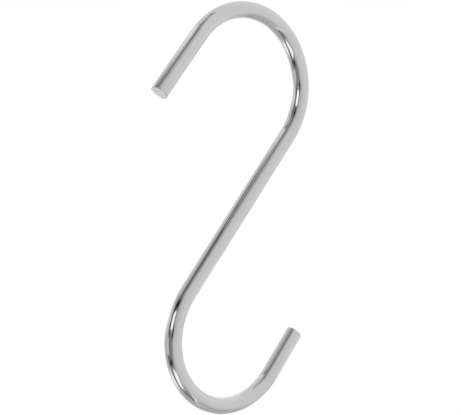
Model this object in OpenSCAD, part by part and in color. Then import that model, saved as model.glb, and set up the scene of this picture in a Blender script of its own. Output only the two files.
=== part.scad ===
// S hook made from one length of round wire. The upper bend hangs over a rail and
// the lower bend carries the load. Each bend is a half turn that brings the tip
// back beside the shank. Both ends are sheared a little off square and lightly
// deburred.
//
// The wire lies in the XZ plane, as it hangs under load: the rail's seat is at the
// origin and the load's seat is straight below it on the Z axis.

/* [Wire] */
// Diameter of the round wire
wire_d = 5; // [2:0.25:7]

/* [Shank] */
// Straight length between the two bends
shank_l = 57; // [20:1:150]

/* [Upper bend] */
// Centre-line radius of the half turn that sits on the rail
upper_r = 21.75; // [12:0.25:40]
// Straight length from the bend to the cut end
upper_tip_l = 21; // [6:0.5:40]

/* [Lower bend] */
// Centre-line radius of the half turn that holds the load
lower_r = 20.5; // [12:0.25:40]
// Straight length from the bend to the cut end
lower_tip_l = 14.5; // [6:0.5:40]

/* [Cut ends] */
// Angle by which the shear cuts are off square
cut_tilt = 5; // [0:1:20]
// Side of the wire on which the upper end is longest, turned from the outside of its bend
upper_cut_side = 50; // [0:5:355]
// Side of the wire on which the lower end is longest, turned from the outside of its bend
lower_cut_side = 165; // [0:5:355]
// Width of the edge broken round each cut
edge_break = 0.3; // [0.1:0.05:0.5]

/* [Hidden] */
$fn = 64;

wire_r = wire_d / 2;

// Centres of the two bends, [x, z] from the middle of an upright shank
upper_c = [-upper_r, shank_l / 2];
lower_c = [lower_r, -shank_l / 2];

// Rail and load pull through these centres, so the shank leans until they are plumb
span = upper_c - lower_c;
lean = -atan2(span.x, span.y);

// Height of the rail's seat, inside the wire, over the centre of its bend
seat_rise = upper_r - wire_r;

// A half turn of wire from the origin, starting along +Z and ending along -Z
module half_turn(radius) {
    translate([-radius, 0, 0])
        rotate([90, 0, 0])
            rotate_extrude(angle = 180)
                translate([radius, 0])
                    circle(r = wire_r);
}

// What the shear and the deburring take off a wire that comes up along +Z
module offcut() {
    rim_r = wire_r / cos(cut_tilt);
    face_r = rim_r - edge_break;
    cone_h = 2 * edge_break;
    translate([0, 0, -cone_h])
        difference() {
            cylinder(h = cone_h + 2 * wire_d, r = wire_d);
            cylinder(h = cone_h, r1 = face_r + cone_h, r2 = face_r);
        }
}

// Straight tip along +Z, as long as length on its axis and longest on the given side
module tip(length, cut_side) {
    difference() {
        cylinder(h = length + wire_d, r = wire_r);
        translate([0, 0, length])
            rotate([0, 0, cut_side])
                rotate([0, -cut_tilt, 0])
                    offcut();
    }
}

// Bend and tip from the shank's end
module bent_end(bend_r, tip_l, cut_side) {
    half_turn(bend_r);
    translate([-2 * bend_r, 0, 0])
        rotate([0, 180, 0])
            tip(tip_l, cut_side);
}

// The whole wire about the middle of its upright shank
module bent_wire() {
    cylinder(h = shank_l, r = wire_r, center = true);
    translate([0, 0, shank_l / 2])
        bent_end(upper_r, upper_tip_l, upper_cut_side);
    rotate([0, 180, 0])
        translate([0, 0, shank_l / 2])
            bent_end(lower_r, lower_tip_l, lower_cut_side);
}

module hook() {
    color("silver")
        translate([0, 0, -seat_rise])
            rotate([0, lean, 0])
                translate([-upper_c.x, 0, -upper_c.y])
                    bent_wire();
}

hook();
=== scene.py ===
"""Looks of the chromed S hook.

The wire is one surface of two parameters: distance along the centre line and angle
round it. It replaces the CAD node "hook". The stage is a pale floor, soft lamps and a
tent of plain light with a few darker and brighter patches, which only polished metal
shows.
"""

import math

import bpy
import numpy as np
from bpy.props import FloatProperty, FloatVectorProperty, PointerProperty
from mathutils import Euler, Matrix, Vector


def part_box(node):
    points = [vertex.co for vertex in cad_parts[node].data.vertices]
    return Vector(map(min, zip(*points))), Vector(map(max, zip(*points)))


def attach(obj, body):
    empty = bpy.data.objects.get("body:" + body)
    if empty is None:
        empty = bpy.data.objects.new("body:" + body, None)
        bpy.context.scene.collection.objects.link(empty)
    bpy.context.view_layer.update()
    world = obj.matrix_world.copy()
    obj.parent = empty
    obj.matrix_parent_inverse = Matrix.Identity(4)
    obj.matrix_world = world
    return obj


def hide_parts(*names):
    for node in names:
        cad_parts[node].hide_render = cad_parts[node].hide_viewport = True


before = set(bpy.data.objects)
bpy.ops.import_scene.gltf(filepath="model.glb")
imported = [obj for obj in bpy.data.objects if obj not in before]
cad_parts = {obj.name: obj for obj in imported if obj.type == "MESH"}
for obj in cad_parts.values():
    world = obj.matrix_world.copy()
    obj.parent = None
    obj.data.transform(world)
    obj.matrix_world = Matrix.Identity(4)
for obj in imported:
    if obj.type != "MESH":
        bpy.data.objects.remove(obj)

bl_info = {
    "name": "S hook",
    "version": (1, 0, 0),
    "blender": (4, 5, 0),
    "location": "View3D > Sidebar > S hook",
    "description": "A chromed wire S hook with sheared ends, and its studio stage",
    "category": "Add Mesh",
}

MM = 0.001
NODE = "hook"
PIECE = "hook_wire"
CAD_LOW, CAD_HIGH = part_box(NODE)
MIDDLE = (CAD_LOW + CAD_HIGH) / 2

# The wire's mesh: rows along the wire and points round it.
RINGS_PER_MM = 2.4
POINTS_ROUND = 144
FACE_ROWS = 22
EDGE_ROWS = 8
# Extra rows just past the rounded edge, and where the even rows begin.
ROWS_PAST_EDGE = np.array([0.06, 0.15, 0.28]) * MM
EVEN_ROWS_FROM = 0.45 * MM

# Direction in which the shear went through the wire, from across to up.
STROKE = math.radians(35)
# Length over which a bend's flattening, a cut's slope and a cut's relief fade out.
BEND_FADE = 4 * MM
CUT_FADE = 5 * MM
RELIEF_FADE = 0.35 * MM
# Waves of the drawn wire's radius: share, length over 2 pi, turns round it and phase.
WAVES = ((0.0016, 7.3 * MM, 2, 0), (0.0012, 4.1 * MM, -3, 1), (0.0009, 2.6 * MM, 1, 2))

# The plate's draw lines, hazy patches and orange peel: size across and depth.
LINE_WIDTH, LINE_DEPTH = 0.16 * MM, 0.0004 * MM
HAZE_SIZE, PEEL_DEPTH = 6 * MM, 0.0015 * MM
# The cut face's grain and its depth, and streaks and pits to a metre.
GRAIN_SIZE, GRAIN_DEPTH = 1.2 * MM, 0.012 * MM
STREAKS_PER_M, PITS_PER_M = 2200, 1500

# Room between the hook's lowest point and the floor.
FLOOR_GAP = 0.03
FLOOR_RADIUS = 1.1
# What the floor glows, as a share of white, by which its lit colour falls short of it.
FLOOR_GLOW = 0.18
TENT_RADIUS = 2.0
CAMERA_PLACE = (-0.22603, -0.26649, -0.03731)
CAMERA_TURN = tuple(math.radians(angle) for angle in (87.297, -3.267, -39.820))
SENSOR_WIDTH = 36
# Lamps: name, place and size in metres, and watts.
SOFTBOXES = (("softbox_top", (1.0, 0.6, 6.0), 0.7, 72.0),
             ("softbox_front", (-3.2, -2.6, 4.4), 1.2, 50.0))


# ---------------------------------------------------------------- what a user sets

class HookSizes(bpy.types.PropertyGroup):
    """Lengths, radii and cut ends of the wire"""
    wire_diameter: FloatProperty(
        name="Wire", description="Diameter of the round wire",
        default=5 * MM, min=2 * MM, max=7 * MM, precision=5, unit="LENGTH")
    shank_length: FloatProperty(
        name="Shank", description="Straight length between the two bends",
        default=57 * MM, min=20 * MM, max=150 * MM, precision=5, unit="LENGTH")
    upper_radius: FloatProperty(
        name="Upper bend",
        description="Centre-line radius of the bend that sits on the rail",
        default=21.75 * MM, min=12 * MM, max=40 * MM, precision=5, unit="LENGTH")
    upper_tip: FloatProperty(
        name="Upper tip", description="Straight length from the upper bend to its cut end",
        default=21 * MM, min=6 * MM, max=40 * MM, precision=5, unit="LENGTH")
    lower_radius: FloatProperty(
        name="Lower bend",
        description="Centre-line radius of the bend that holds the load",
        default=20.5 * MM, min=12 * MM, max=40 * MM, precision=5, unit="LENGTH")
    lower_tip: FloatProperty(
        name="Lower tip", description="Straight length from the lower bend to its cut end",
        default=14.5 * MM, min=6 * MM, max=40 * MM, precision=5, unit="LENGTH")
    cut_tilt: FloatProperty(
        name="Cut tilt", description="Angle by which the shear cuts are off square",
        default=math.radians(5), min=0, max=math.radians(20), subtype="ANGLE")
    upper_cut_side: FloatProperty(
        name="Upper long side",
        description="Side on which the upper end is longest, from the outside of its bend",
        default=math.radians(50), subtype="ANGLE")
    lower_cut_side: FloatProperty(
        name="Lower long side",
        description="Side on which the lower end is longest, from the outside of its bend",
        default=math.radians(165), subtype="ANGLE")
    edge_break: FloatProperty(
        name="Edge break", description="Width of the edge broken round each cut",
        default=0.3 * MM, min=0.1 * MM, max=0.5 * MM, precision=5, unit="LENGTH")
    bend_flattening: FloatProperty(
        name="Flattening",
        description="Share of its width that the wire loses inside a bend",
        default=0.012, min=0, max=0.05, subtype="FACTOR")


class HookFinish(bpy.types.PropertyGroup):
    """Colours of the plate and of the cut faces"""
    plate_colour: FloatVectorProperty(
        name="Chrome", description="Colour of the bright chrome plate",
        default=(0.81, 0.81, 0.81), size=3, min=0, max=1, subtype="COLOR")
    haze_colour: FloatVectorProperty(
        name="Haze", description="Colour of the plate where it is faintly hazed",
        default=(0.75, 0.75, 0.75), size=3, min=0, max=1, subtype="COLOR")
    cut_colour: FloatVectorProperty(
        name="Cut face", description="Colour of the plated, sheared end faces",
        default=(0.97, 0.97, 0.97), size=3, min=0, max=1, subtype="COLOR")
    pit_colour: FloatVectorProperty(
        name="Pits", description="Colour in the torn pits of the end faces",
        default=(0.3, 0.3, 0.3), size=3, min=0, max=1, subtype="COLOR")


class StageLook(bpy.types.PropertyGroup):
    """Light round the hook, the floor and the lens"""
    studio_grey: FloatProperty(
        name="Studio grey", description="Level of the plain light all round the hook",
        default=0.7, min=0, max=2)
    floor_colour: FloatVectorProperty(
        name="Floor", description="Colour of the pale floor",
        default=(0.85, 0.85, 0.85), size=3, min=0, max=1, subtype="COLOR")
    lens: FloatProperty(
        name="Lens", description="Focal length of the camera in millimetres",
        default=95.6, min=10, max=300)


# ---------------------------------------------------------------- shared mesh work

def smooth_step(low, high, value):
    """Rises from 0 at low to 1 at high along the curve 3t^2 - 2t^3."""
    t = np.clip((value - low) / (high - low), 0, 1)
    return t * t * (3 - 2 * t)


def grid_mesh(name, points, closed_round, poles=(False, False)):
    """Mesh of a grid of points, rows by columns by 3. The columns may close on
    themselves, and the first or last row may be gathered into a single pole."""
    rows, cols = points.shape[:2]
    index = np.arange(rows * cols).reshape(rows, cols)
    if closed_round:
        index = np.hstack([index, index[:, :1]])
    a, b = index[:-1, :-1].ravel(), index[1:, :-1].ravel()
    c, d = index[1:, 1:].ravel(), index[:-1, 1:].ravel()
    quads = np.stack([a, b, c, d], 1)
    verts = points.reshape(-1, 3)
    fans = []
    if poles[0]:
        first = np.full(cols, len(verts))
        fans.append(np.stack([first, index[0, :-1], index[0, 1:]], 1))
        verts = np.vstack([verts, points[0].mean(0)])
    if poles[1]:
        last = np.full(cols, len(verts))
        fans.append(np.stack([index[-1, :-1], last, index[-1, 1:]], 1))
        verts = np.vstack([verts, points[-1].mean(0)])
    corners = np.concatenate([quads.ravel()] + [f.ravel() for f in fans])
    sizes = np.concatenate([np.full(len(quads), 4)] + [np.full(len(f), 3) for f in fans])
    mesh = bpy.data.meshes.new(name)
    mesh.vertices.add(len(verts))
    mesh.vertices.foreach_set("co", verts.astype(np.float32).ravel())
    mesh.loops.add(len(corners))
    mesh.loops.foreach_set("vertex_index", corners.astype(np.int32))
    mesh.polygons.add(len(sizes))
    mesh.polygons.foreach_set("loop_start", (np.cumsum(sizes) - sizes).astype(np.int32))
    mesh.update(calc_edges=True)
    mesh.validate()
    mesh.shade_smooth()
    return mesh


def corner_points(mesh):
    """Index of the point at each corner of each face."""
    corner = np.zeros(len(mesh.loops), np.int32)
    mesh.loops.foreach_get("vertex_index", corner)
    return corner


def add_uv_map(mesh, u, v):
    """UV map from the two values of each corner."""
    values = np.stack([u, v], 1).astype(np.float32).ravel()
    mesh.uv_layers.new(name="UVMap").data.foreach_set("uv", values)


def add_object(name, mesh):
    """Object of the mesh, at the origin, in the scene's own collection."""
    thing = bpy.data.objects.new(name, mesh)
    bpy.context.scene.collection.objects.link(thing)
    return thing


# ---------------------------------------------------------------- the bent wire

def wire_length(s):
    """Two tips, a shank and two half turns, measured along the centre line."""
    bends = math.pi * (s.upper_radius + s.lower_radius)
    return s.upper_tip + bends + s.shank_length + s.lower_tip


def centre_line(s, along):
    """Centre line in its own plane with the shank upright. Each straight adds its own
    clipped share of the distance, and each half turn of radius R adds R(1 - cos a) to
    the side and R sin a along the shank, where a is its clipped share over R. The
    heading is the first turn's angle less the second's."""
    past_turn = along - s.upper_tip
    past_shank = past_turn - math.pi * s.upper_radius
    past_second = past_shank - s.shank_length
    a1 = np.clip(past_turn / s.upper_radius, 0, math.pi)
    a2 = np.clip(past_second / s.lower_radius, 0, math.pi)
    on_shank = np.clip(past_shank, 0, s.shank_length)
    on_last = np.maximum(past_second - math.pi * s.lower_radius, 0)
    x = (-2 * s.upper_radius + s.upper_radius * (1 - np.cos(a1))
         + s.lower_radius * (1 - np.cos(a2)))
    z = (s.shank_length / 2 - s.upper_tip + np.minimum(along, s.upper_tip)
         + s.upper_radius * np.sin(a1) - on_shank - s.lower_radius * np.sin(a2) + on_last)
    return x, z, a1 - a2


def hang(s, x, z):
    """Turns the upright wire until both bend centres are plumb, and lifts the rail's
    seat, the highest point inside the upper bend, to the origin."""
    side, height = -(s.upper_radius + s.lower_radius), s.shank_length
    lean = -math.atan2(side, height)
    cosine, sine = math.cos(lean), math.sin(lean)
    seat_rise = s.upper_radius - s.wire_diameter / 2
    x, z = x + s.upper_radius, z - s.shank_length / 2
    return cosine * x + sine * z, cosine * z - sine * x - seat_rise


def ring_rows(s):
    """Rows of the surface from the middle of one cut face, over its rounded edge, along
    the wire and down to the middle of the other. Gives each row's distance along the
    wire, its radius and whether it is on a face. The rounded edge is a quarter circle:
    its radius grows with the sine of the turn and its depth with 1 less the cosine."""
    radius, broken = s.wire_diameter / 2, s.edge_break
    face = np.linspace(0.03, 1, FACE_ROWS) * (radius - broken)
    turn = np.linspace(0, math.pi / 2, EDGE_ROWS + 1)[1:]
    edge_radius = radius - broken + broken * np.sin(turn)
    edge_depth = broken * (1 - np.cos(turn))
    near = broken + ROWS_PAST_EDGE
    length, margin = wire_length(s), broken + EVEN_ROWS_FROM
    side = np.linspace(margin, length - margin, int(length / MM * RINGS_PER_MM))
    depth = np.concatenate([np.zeros(FACE_ROWS), edge_depth, near])
    rim = np.concatenate([face, edge_radius, np.full(len(near), radius)])
    on_face = np.arange(len(depth)) < FACE_ROWS
    along = np.concatenate([depth, side, length - depth[::-1]])
    rho = np.concatenate([rim, np.full(len(side), radius), rim[::-1]])
    faces = np.concatenate([on_face, np.zeros(len(side), bool), on_face[::-1]])
    return along, rho, faces


def part_of_bend(past, length):
    """1 inside a bend of the given length and 0 outside it, fading at both ends."""
    return smooth_step(0, BEND_FADE, past) * smooth_step(0, BEND_FADE, length - past)


def wire_surface(s):
    """Point at distance u along the wire and angle t round it: the centre line there,
    plus the radius times cos t in the plane of the bends and sin t across it. Near an
    end, u is shifted by the slope of the shear cut, which is the radius times the tangent
    of the tilt times the cosine of the angle from the long side, and by the relief of the
    cut face, which dies away from the end as an exponential. Gives the points, their
    places in the wire before it was bent, and which rows are on a cut face."""
    along, rho, faces = ring_rows(s)
    radius, length = s.wire_diameter / 2, wire_length(s)
    turn = np.arange(POINTS_ROUND) * (2 * math.pi / POINTS_ROUND)
    u, t = np.meshgrid(along, turn, indexing="ij")
    rim = np.repeat(rho[:, None], POINTS_ROUND, 1)

    # A bend squeezes the wire in its plane.
    second = s.upper_tip + math.pi * s.upper_radius + s.shank_length
    bent = (part_of_bend(u - s.upper_tip, math.pi * s.upper_radius)
            + part_of_bend(u - second, math.pi * s.lower_radius))
    oval = 1 - s.bend_flattening * bent * np.cos(t) ** 2
    # Drawing and rolling leave a slow unevenness of a few thousandths.
    uneven = sum(share * np.sin(u / wave + turns * t + phase)
                 for share, wave, turns, phase in WAVES)
    side_radius = rim * oval * (1 + uneven * np.clip(rim / radius, 0, 1))

    # Shear cuts: sloped faces, a rolled edge where the blade went in, torn lip opposite.
    slope = math.tan(s.cut_tilt) * rim
    upper_side = t - s.upper_cut_side
    lower_side = math.pi - t - s.lower_cut_side
    at_upper = 1 - smooth_step(0, CUT_FADE, u)
    at_lower = smooth_step(length - CUT_FADE, length, u)
    shift = -at_upper * slope * np.cos(upper_side) + at_lower * slope * np.cos(lower_side)
    across, up = rim / radius * np.cos(t), rim / radius * np.sin(t)
    relief = face_relief(across, up)
    close = np.exp(-np.minimum(u, length - u) / RELIEF_FADE)
    shift += (at_upper - at_lower) * close * relief
    u = u + shift

    x, z, heading = centre_line(s, u)
    x = x - side_radius * np.cos(t) * np.cos(heading)
    z = z + side_radius * np.cos(t) * np.sin(heading)
    x, z = hang(s, x, z)
    points = np.stack([x, side_radius * np.sin(t), z], -1)
    straight = np.stack([rim * np.cos(t), rim * np.sin(t), u], -1)
    return points, straight, faces


def face_relief(across, up):
    """Depth of the cut face at a point of the unit disc: a roll-over that falls off
    towards the blade's side, a torn lip that stands up opposite and a burr on the inner
    side of the bend, each a smooth step of the place that a sine makes uneven, then soft
    ridges along the stroke, as a sum of two sines, and a dish that is deepest in the
    middle, as 1 less the squared distance from it."""
    roll_depth, lip_height, burr_height = 0.16 * MM, 0.07 * MM, 0.26 * MM
    ridge_height, dish_depth = 0.022 * MM, 0.03 * MM
    rolled = roll_depth * smooth_step(0.45, 1.05, up)
    lip = -lip_height * smooth_step(0.72, 1.0, -up) * (1 + 0.6 * np.sin(9 * across + 1))
    burr = -burr_height * smooth_step(0.76, 0.88, -across) * (1 + 0.15 * np.sin(8 * up))
    beside = math.cos(STROKE) * up - math.sin(STROKE) * across
    ridges = ridge_height * (np.sin(10 * beside + 1)
                             + 0.6 * np.sin(23 * beside + 2 * across))
    dished = dish_depth * (1 - across ** 2 - up ** 2)
    return rolled + lip + burr + ridges + dished


def add_wire_coordinates(mesh, straight):
    """UV map, across for the row along the wire and up for the angle round it, and the
    attribute "straight_wire" with each point's place in the wire before it was bent. A
    face that crosses the seam counts its angle on past 1, and a pole has the middle."""
    rows, cols = straight.shape[:2]
    flat = straight.reshape(-1, 3)
    poles = np.stack([straight[0].mean(0), straight[-1].mean(0)])
    flat = np.vstack([flat, poles]).astype(np.float32)
    attribute = mesh.attributes.new("straight_wire", "FLOAT_VECTOR", "POINT")
    attribute.data.foreach_set("vector", flat.ravel())

    corner = corner_points(mesh)
    starts = np.zeros(len(mesh.polygons), np.int32)
    mesh.polygons.foreach_get("loop_start", starts)
    totals = np.diff(np.append(starts, len(corner)))
    at_pole, past_grid = corner >= rows * cols, corner - rows * cols
    u = np.concatenate([np.linspace(0.001, 0.999, rows), [0, 1]])
    u = u[np.where(at_pole, rows + past_grid, corner // cols)]
    v = np.where(at_pole, 0.5, corner % cols / cols)
    face = np.repeat(np.arange(len(starts)), totals)
    highest = np.maximum.reduceat(v, starts)[face]
    v = np.where((v < 0.25) & (highest > 0.75), v + 1, v)
    add_uv_map(mesh, u, v)


# ---------------------------------------------------------------- node helpers

class Nodes:
    """Short ways to add and join shader nodes in one tree."""

    def __init__(self, tree):
        self.tree = tree

    def add(self, kind, inputs=None, **settings):
        """Node of a kind. An input is a socket to join or a value to set."""
        node = self.tree.nodes.new(kind)
        for key, value in settings.items():
            setattr(node, key, value)
        for key, value in (inputs or {}).items():
            if isinstance(value, bpy.types.NodeSocket):
                self.tree.links.new(value, node.inputs[key])
            else:
                node.inputs[key].default_value = value
        return node

    def join(self, source, target):
        """Link from one socket to another."""
        self.tree.links.new(source, target)

    def math(self, operation, a, b=0.0, c=0.0):
        """One step of arithmetic."""
        node = self.add("ShaderNodeMath", {0: a, 1: b, 2: c}, operation=operation)
        return node.outputs[0]

    def noise(self, vector, scale, detail=2.0, rough=0.5):
        """Noise from 0 to 1, with this many features to a metre."""
        node = self.add("ShaderNodeTexNoise", {"Vector": vector, "Scale": scale,
                                               "Detail": detail, "Roughness": rough})
        return node.outputs["Fac"]

    def stretched(self, vector, scale, turn=(0, 0, 0)):
        """The vector, scaled along each axis and turned."""
        node = self.add("ShaderNodeMapping", {"Vector": vector, "Scale": scale,
                                              "Rotation": turn})
        return node.outputs[0]

    def spread(self, value, low, high, new_low=0.0, new_high=1.0):
        """Smooth rise from one new value to the other as the value goes low to high."""
        node = self.add("ShaderNodeMapRange", {"Value": value, "From Min": low,
                                               "From Max": high, "To Min": new_low,
                                               "To Max": new_high},
                        interpolation_type="SMOOTHSTEP")
        return node.outputs[0]


def new_group(name, inputs, outputs):
    """An empty shader node group with named sockets, its node helper, and its input and
    output nodes. Each input is its name, its socket type and its default."""
    group = bpy.data.node_groups.new(name, "ShaderNodeTree")
    for label, kind, default in inputs:
        socket = group.interface.new_socket(label, in_out="INPUT", socket_type=kind)
        if default is not None:
            socket.default_value = default
    for label, kind in outputs:
        group.interface.new_socket(label, in_out="OUTPUT", socket_type=kind)
    nodes = Nodes(group)
    return group, nodes, nodes.add("NodeGroupInput"), nodes.add("NodeGroupOutput")


def new_material(name):
    """An empty node material, its node helper and its output node."""
    material = bpy.data.materials.new(name)
    material.use_nodes = True
    material.node_tree.nodes.clear()
    nodes = Nodes(material.node_tree)
    return material, nodes, nodes.add("ShaderNodeOutputMaterial")


def draw_lines_group():
    """Fine lines that the die leaves along drawn wire: noise drawn out lengthways, with
    a second, sparser set at a slight slant for handling scratches."""
    group, n, given, out = new_group(
        "draw_lines",
        [("Vector", "NodeSocketVector", None), ("Line width", "NodeSocketFloat", 0.00015),
         ("Scratches", "NodeSocketFloat", 0.5)],
        [("Height", "NodeSocketFloat"), ("Scratch mask", "NodeSocketFloat")])
    vector = given.outputs["Vector"]
    across = n.math("DIVIDE", 1.0, given.outputs["Line width"])
    fine = n.noise(n.stretched(vector, (1, 1, 0.006)), across, 3, 0.6)
    slant = n.stretched(vector, (1, 1, 0.02), (0.05, 0.03, 0))
    sparse = n.noise(slant, n.math("MULTIPLY", across, 0.35), 1)
    scratch = n.math("MULTIPLY", n.spread(sparse, 0.66, 0.74), given.outputs["Scratches"])
    n.join(n.math("SUBTRACT", fine, scratch), out.inputs["Height"])
    n.join(scratch, out.inputs["Scratch mask"])
    return group


def plate_haze_group():
    """Cloudy patches where plate is a little less bright, as soft noise, and the slow
    orange peel of its surface."""
    group, n, given, out = new_group(
        "plate_haze",
        [("Vector", "NodeSocketVector", None), ("Patch size", "NodeSocketFloat", 0.006)],
        [("Haze", "NodeSocketFloat"), ("Peel", "NodeSocketFloat")])
    scale = n.math("DIVIDE", 1.0, given.outputs["Patch size"])
    cloud = n.noise(n.stretched(given.outputs["Vector"], (1, 1, 0.35)), scale, 3, 0.6)
    peel = n.noise(given.outputs["Vector"], n.math("MULTIPLY", scale, 7), 1)
    n.join(n.spread(cloud, 0.45, 0.75), out.inputs["Haze"])
    n.join(peel, out.inputs["Peel"])
    return group


def chrome_material(finish, draw_lines, haze):
    """Bright plate over drawn wire. Haze lifts the roughness, and draw lines, scratches
    and orange peel make the bump."""
    material, n, out = new_material("chrome_plate")
    place = n.add("ShaderNodeAttribute", attribute_name="straight_wire").outputs["Vector"]
    lines = n.add("ShaderNodeGroup", {"Vector": place, "Line width": LINE_WIDTH,
                                      "Scratches": 0.5}, node_tree=draw_lines)
    cloud = n.add("ShaderNodeGroup", {"Vector": place, "Patch size": HAZE_SIZE},
                  node_tree=haze)
    dull = n.math("MULTIPLY_ADD", n.spread(lines.outputs["Height"], 0.35, 0.7), 0.5,
                  n.math("MULTIPLY", cloud.outputs["Haze"], 0.5))
    colour = n.add("ShaderNodeMix", {0: dull, 6: (*finish.plate_colour, 1),
                                     7: (*finish.haze_colour, 1)}, data_type="RGBA")
    rough = n.spread(cloud.outputs["Haze"], 0, 1, 0.045, 0.1)
    rough = n.math("ADD", rough, n.math("MULTIPLY", lines.outputs["Scratch mask"], 0.12))
    fine = n.add("ShaderNodeBump", {"Strength": 1.0, "Distance": LINE_DEPTH,
                                    "Height": lines.outputs["Height"]})
    peel = n.add("ShaderNodeBump", {"Strength": 1.0, "Distance": PEEL_DEPTH,
                                    "Height": cloud.outputs["Peel"],
                                    "Normal": fine.outputs[0]})
    plate = n.add("ShaderNodeBsdfPrincipled", {"Base Color": colour.outputs[2],
                                               "Metallic": 1.0, "Roughness": rough,
                                               "Normal": peel.outputs[0]})
    n.join(plate.outputs[0], out.inputs["Surface"])
    return material


def cut_material(finish, haze):
    """Plated over the shear cut: burnished streaks along the stroke, a grainy torn zone
    and dark pits."""
    material, n, out = new_material("sheared_face")
    place = n.add("ShaderNodeAttribute", attribute_name="straight_wire").outputs["Vector"]
    grain = n.add("ShaderNodeGroup", {"Vector": place, "Patch size": GRAIN_SIZE},
                  node_tree=haze)
    stroke = n.add("ShaderNodeMapping", {"Vector": place, "Rotation": (0, 0, STROKE),
                                         "Scale": (9, 1, 1)}, vector_type="TEXTURE")
    streak = n.noise(stroke.outputs[0], STREAKS_PER_M, 2, 0.6)
    pits = n.spread(n.noise(place, PITS_PER_M, 2, 0.6), 0.66, 0.74)
    dull = n.math("MAXIMUM", pits, n.spread(streak, 0.5, 0.8, 0.0, 0.35))
    colour = n.add("ShaderNodeMix", {0: dull, 6: (*finish.cut_colour, 1),
                                     7: (*finish.pit_colour, 1)}, data_type="RGBA")
    rough = n.spread(grain.outputs["Haze"], 0, 1, 0.28, 0.42)
    grainy = n.math("MULTIPLY", grain.outputs["Peel"], 0.5)
    height = n.math("ADD", n.math("MULTIPLY", streak, 0.7),
                    n.math("SUBTRACT", grainy, pits))
    bump = n.add("ShaderNodeBump", {"Strength": 1.0, "Distance": GRAIN_DEPTH,
                                    "Height": height})
    face = n.add("ShaderNodeBsdfPrincipled", {"Base Color": colour.outputs[2],
                                              "Metallic": 1.0, "Roughness": rough,
                                              "Normal": bump.outputs[0]})
    n.join(face.outputs[0], out.inputs["Surface"])
    return material


class HOOK_OT_wire(bpy.types.Operator):
    """Bend the wire, give it its plate and its sheared ends, and put it in the frame"""
    bl_idname = "s_hook.wire"
    bl_label = "Bent wire"

    def execute(self, context):
        sizes, finish = context.scene.hook_sizes, context.scene.hook_finish
        points, straight, faces = wire_surface(sizes)
        mesh = grid_mesh(PIECE, points, True, (True, True))
        add_wire_coordinates(mesh, straight)
        lines, haze = draw_lines_group(), plate_haze_group()
        mesh.materials.append(chrome_material(finish, lines, haze))
        mesh.materials.append(cut_material(finish, haze))
        # The faces between two rows of a cut face, then the two fans at its poles.
        on_face = np.repeat(faces[:-1] & faces[1:], POINTS_ROUND)
        on_face = np.append(on_face, np.ones(2 * POINTS_ROUND, bool))
        mesh.polygons.foreach_set("material_index", on_face.astype(np.int32))
        piece = add_object(PIECE, mesh)
        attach(piece, "root")
        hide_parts(NODE)
        return {"FINISHED"}


# ---------------------------------------------------------------- the stage

def soft_patch_group():
    """Mask of a soft-edged patch on the tent: in degrees from its middle, turned by its
    tilt, the mask falls from 1 to 0 over the edge on both axes."""
    group, n, given, out = new_group(
        "soft_patch",
        [("Vector", "NodeSocketVector", None), ("Round", "NodeSocketFloat", 0.0),
         ("Height", "NodeSocketFloat", 0.0), ("Half width", "NodeSocketFloat", 10.0),
         ("Half height", "NodeSocketFloat", 10.0), ("Tilt", "NodeSocketFloat", 0.0),
         ("Edge", "NodeSocketFloat", 3.0)],
        [("Mask", "NodeSocketFloat")])
    g = given.outputs
    place = n.add("ShaderNodeSeparateXYZ", {0: g["Vector"]}).outputs
    dx = n.math("SUBTRACT", n.math("MULTIPLY", place[0], 360.0), g["Round"])
    dy = n.math("SUBTRACT", n.math("MULTIPLY_ADD", place[1], 180.0, -90.0), g["Height"])
    tilt = n.math("RADIANS", g["Tilt"])
    c, s = n.math("COSINE", tilt), n.math("SINE", tilt)
    along = n.math("ADD", n.math("MULTIPLY", dx, c), n.math("MULTIPLY", dy, s))
    up = n.math("SUBTRACT", n.math("MULTIPLY", dy, c), n.math("MULTIPLY", dx, s))
    masks = []
    for offset, half in ((along, g["Half width"]), (up, g["Half height"])):
        outside = n.math("SUBTRACT", n.math("ABSOLUTE", offset), half)
        share = n.math("DIVIDE", outside, g["Edge"])
        masks.append(n.spread(share, -1.0, 1.0, 1.0, 0.0))
    n.join(n.math("MULTIPLY", *masks), out.inputs["Mask"])
    return group


# Where the tent's seam stands, in degrees round from +Y towards +X.
SEAM = 150
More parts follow.
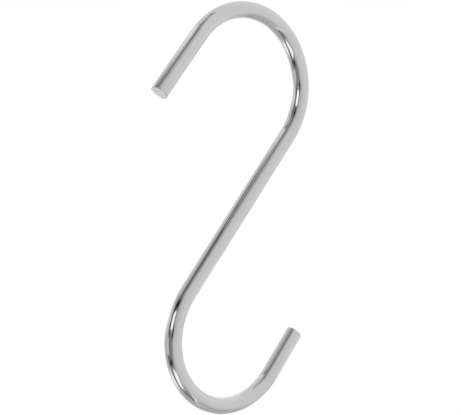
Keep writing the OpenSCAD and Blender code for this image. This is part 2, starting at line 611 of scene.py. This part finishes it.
# Patches of the tent: name, way round from the seam, height, half width, half height,
# tilt and edge, all in degrees, and level, where 1 is white. They are laid over each
# other in this order: the plain walls, the dark drape behind the camera with the ceiling
# over it, the window in the drape, the right side, and what lies low in front.
TENT_PATCHES = (
    ("back_wall", 290, 30, 50, 40, 0, 15, 0.76),
    ("left_shade", 45, 8, 18, 18, 0, 12, 0.6),
    ("right_shade", 150, 27, 22, 10, 0, 8, 0.5),
    ("low_right_haze", 180, -32, 18, 14, 0, 8, 0.5),
    ("backdrop_upper", 250, 12, 26, 26, 0, 20, 1.1),
    ("horizon_glow", 209, 3, 18, 7, 0, 5, 1.3),
    ("back_shade", 272, -44, 19, 5, 0, 6, 0.42),
    ("back_glow", 303, -21, 16, 2, 0, 3, 0.9),
    ("low_shade_back", 250, -62, 60, 6, 0, 8, 0.45),
    ("low_glow_back", 340, -79, 26, 6, 0, 4, 0.68),
    ("low_line_back", 340, -50, 26, 3, -17, 3, 0.36),
    ("low_line_left", 2, -58, 8, 3, 0, 3, 0.36),
    ("drape", 112, 20, 34, 70, 0, 32, 0.15),
    ("ceiling", 112, 84, 90, 9, 0, 6, 0.4),
    ("ceiling_shade", 80, 67, 28, 4, 0, 5, 0.3),
    ("ceiling_right", 140, 64, 24, 4, 0, 2, 0.6),
    ("ceiling_left", 72, 54, 20, 3, 0, 3, 0.42),
    ("drape_haze", 55, 44, 10, 4, 0, 6, 0.52),
    ("drape_head", 148, 54, 18, 2.5, 0, 2, 0.1),
    ("drape_side_haze", 172, 44, 16, 4, 0, 5, 0.5),
    ("side_light", 184, 50, 24, 2, -21, 2, 1),
    ("drape_rail", 94, 62, 16, 2, 0, 2, 0.12),
    ("drape_top_fold", 114, 32, 25, 5, 0, 4, 0.03),
    ("drape_top_corner", 130, 23, 8, 5, 0, 3, 0.02),
    ("drape_left_fold", 82, -3, 9, 6, -25, 4, 0.03),
    ("drape_inside", 110, -20, 20, 12, 0, 6, 0.24),
    ("drape_right_fold", 129, 2, 10, 5, 40, 3, 0),
    ("drape_foot_fold", 126, -37, 28, 4, 0, 4, 0.03),
    ("window_frame", 106, 12, 20, 13, 0, 2, 0.06),
    ("window", 106, 12, 14, 11, 0, 3, 1.2),
    ("window_foot", 102, -2, 10, 1.5, 0, 2, 0.5),
    ("side_pane", 142, -18, 11, 10, 0, 3, 0.65),
    ("side_sill", 142, -31, 20, 3, 10, 4, 0.15),
    ("right_wall", 160, 12, 14, 12, 0, 8, 0.72),
    ("right_corner", 171, -13, 6, 5, 0, 4, 0.3),
    ("low_shade", 75, -74, 55, 8, 0, 4, 0.2),
    ("low_right_shade", 142, -56, 12, 12, 0, 4, 0.12),
    ("low_panel_frame", 92, -57, 33, 13, 0, 2, 0.12),
    ("low_panel", 94, -57, 28, 12, 0, 3, 1.1),
    ("low_right_panel", 180, -48, 24, 9, 20, 6, 1.05),
    ("low_left_shade", 37, -58, 11, 7, 0, 4, 0.3),
    ("low_left_streak", 16, -58, 5, 15, -10, 3, 0.8),
)


def tent_material(look):
    """Plain light that is a little dimmer below than above, with the patches laid over
    it one after the other."""
    material, n, out = new_material("tent_light")
    uv = n.add("ShaderNodeTexCoord").outputs["UV"]
    height = n.add("ShaderNodeSeparateXYZ", {0: uv}).outputs[1]
    level = n.spread(height, 0.1, 0.45, look.studio_grey * 0.7, look.studio_grey)
    patch = soft_patch_group()
    for name, way, up, half_width, half_height, tilt, edge, value in TENT_PATCHES:
        mask = n.add("ShaderNodeGroup", {"Vector": uv, "Round": way, "Height": up,
                                         "Half width": half_width,
                                         "Half height": half_height, "Tilt": tilt,
                                         "Edge": edge}, node_tree=patch, label=name)
        level = n.add("ShaderNodeMix", {0: mask.outputs[0], 2: level, 3: value},
                      data_type="FLOAT").outputs[0]
    light = n.add("ShaderNodeEmission", {"Color": level, "Strength": 1.0})
    n.join(light.outputs[0], out.inputs["Surface"])
    material.cycles.emission_sampling = "NONE"
    return material


def tent_mesh(radius):
    """Sphere round the hook's middle: sine and cosine of the way round, times the cosine
    of the height, and the sine of the height. Its UV runs once round from the seam, and
    from straight down to straight up."""
    rows, cols = 91, 181
    v, u = np.meshgrid(np.linspace(0, 1, rows), np.linspace(0, 1, cols), indexing="ij")
    a, e = np.radians(360 * u + SEAM), np.radians(180 * v - 90)
    direction = np.stack([np.sin(a) * np.cos(e), np.cos(a) * np.cos(e), np.sin(e)], -1)
    mesh = grid_mesh("tent", np.array(MIDDLE) + radius * direction, False)
    corner = corner_points(mesh)
    add_uv_map(mesh, u.ravel()[corner], v.ravel()[corner])
    return mesh


def looked_at(n):
    """1 for a ray that shows the background itself, whether straight to the camera or by
    way of polished metal or glass, and 0 for a ray that only lights something."""
    path = n.add("ShaderNodeLightPath").outputs
    through = n.math("MAXIMUM", path["Is Glossy Ray"], path["Is Transmission Ray"])
    return n.math("MAXIMUM", path["Is Camera Ray"], through)


def floor_material(look):
    """Pale matt floor. Where it is looked at it also glows by the little that it lacks
    of white, so that only a shadow shows on it."""
    material, n, out = new_material("pale_floor")
    matt = n.add("ShaderNodeBsdfDiffuse", {"Color": (*look.floor_colour, 1)})
    glow = n.add("ShaderNodeEmission", {
        "Color": (1, 1, 1, 1), "Strength": n.math("MULTIPLY", looked_at(n), FLOOR_GLOW)})
    both = n.add("ShaderNodeAddShader", {0: matt.outputs[0], 1: glow.outputs[0]})
    n.join(both.outputs[0], out.inputs["Surface"])
    return material


def floor_mesh(radius):
    """Flat disc: rings of points at growing radius, gathered in the middle."""
    ring_count, points_round = 24, 64
    rings = np.linspace(0.01, 1, ring_count)[:, None] * radius
    way = np.linspace(0, 2 * math.pi, points_round, endpoint=False)[None, :]
    z = CAD_LOW.z - FLOOR_GAP
    x, y = rings * np.cos(-way), rings * np.sin(-way)
    points = np.stack([x, y, np.full(x.shape, z)], -1)
    return grid_mesh("floor", points, True, (True, False))


def set_world(look):
    """White where it is looked at, plain grey light to everything else."""
    world = bpy.data.worlds.new("studio")
    world.use_nodes = True
    world.node_tree.nodes.clear()
    n = Nodes(world.node_tree)
    level = n.add("ShaderNodeMix", {0: looked_at(n), 2: look.studio_grey, 3: 1.0},
                  data_type="FLOAT").outputs[0]
    light = n.add("ShaderNodeBackground", {"Color": (1, 1, 1, 1), "Strength": level})
    n.add("ShaderNodeOutputWorld", {"Surface": light.outputs[0]})
    bpy.context.scene.world = world


def add_softbox(name, place, size, watts):
    """Large, distant area lamp that looks at the middle of the hook and isn't mirrored."""
    lamp = bpy.data.lights.new(name, "AREA")
    lamp.size, lamp.energy = size, watts
    box = bpy.data.objects.new(name, lamp)
    bpy.context.scene.collection.objects.link(box)
    box.location = place
    box.rotation_euler = (MIDDLE - box.location).to_track_quat("-Z", "Y").to_euler()
    box.visible_camera = False
    box.visible_glossy = False


class HOOK_OT_stage(bpy.types.Operator):
    """Set up the camera, the floor, the tent of light and the lamps"""
    bl_idname = "s_hook.stage"
    bl_label = "Stage"

    def execute(self, context):
        scene, look = context.scene, context.scene.stage_look
        scene.view_settings.view_transform = "Standard"
        view = bpy.data.cameras.new("camera")
        view.lens, view.sensor_width = look.lens, SENSOR_WIDTH
        view.clip_start, view.clip_end = 0.01, 20
        camera = bpy.data.objects.new("camera", view)
        scene.collection.objects.link(camera)
        camera.location = CAMERA_PLACE
        camera.rotation_euler = Euler(CAMERA_TURN)
        scene.camera = camera

        floor = add_object("floor", floor_mesh(FLOOR_RADIUS))
        floor.data.materials.append(floor_material(look))
        floor.visible_glossy = False
        tent = add_object("tent", tent_mesh(TENT_RADIUS))
        tent.data.materials.append(tent_material(look))
        for ray in ("camera", "diffuse", "transmission", "volume_scatter", "shadow"):
            setattr(tent, "visible_" + ray, False)
        set_world(look)
        for softbox in SOFTBOXES:
            add_softbox(*softbox)
        return {"FINISHED"}


class HOOK_PT_panel(bpy.types.Panel):
    """Sizes, finish and stage of the hook"""
    bl_idname = "HOOK_PT_panel"
    bl_label = "S hook"
    bl_space_type = "VIEW_3D"
    bl_region_type = "UI"
    bl_category = "S hook"

    def draw(self, context):
        """One box for each group of values, with its operator under it."""
        for group, operator in (("hook_sizes", "s_hook.wire"), ("hook_finish", None),
                                ("stage_look", "s_hook.stage")):
            values = getattr(context.scene, group)
            box = self.layout.box()
            for name in values.__annotations__:
                box.prop(values, name)
            if operator:
                box.operator(operator)


CLASSES = (HookSizes, HookFinish, StageLook, HOOK_OT_wire, HOOK_OT_stage, HOOK_PT_panel)
GROUPS = {"hook_sizes": HookSizes, "hook_finish": HookFinish, "stage_look": StageLook}


def register():
    """Adds the classes and puts each group of values on the scene."""
    for cls in CLASSES:
        bpy.utils.register_class(cls)
    for name, cls in GROUPS.items():
        setattr(bpy.types.Scene, name, PointerProperty(type=cls))


def unregister():
    """Takes away what register added."""
    for name in GROUPS:
        delattr(bpy.types.Scene, name)
    for cls in reversed(CLASSES):
        bpy.utils.unregister_class(cls)


def main():
    """Makes the stage and the hook."""
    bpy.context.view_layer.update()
    register()
    bpy.ops.s_hook.stage()
    bpy.ops.s_hook.wire()


if __name__ == "__main__":
    main()
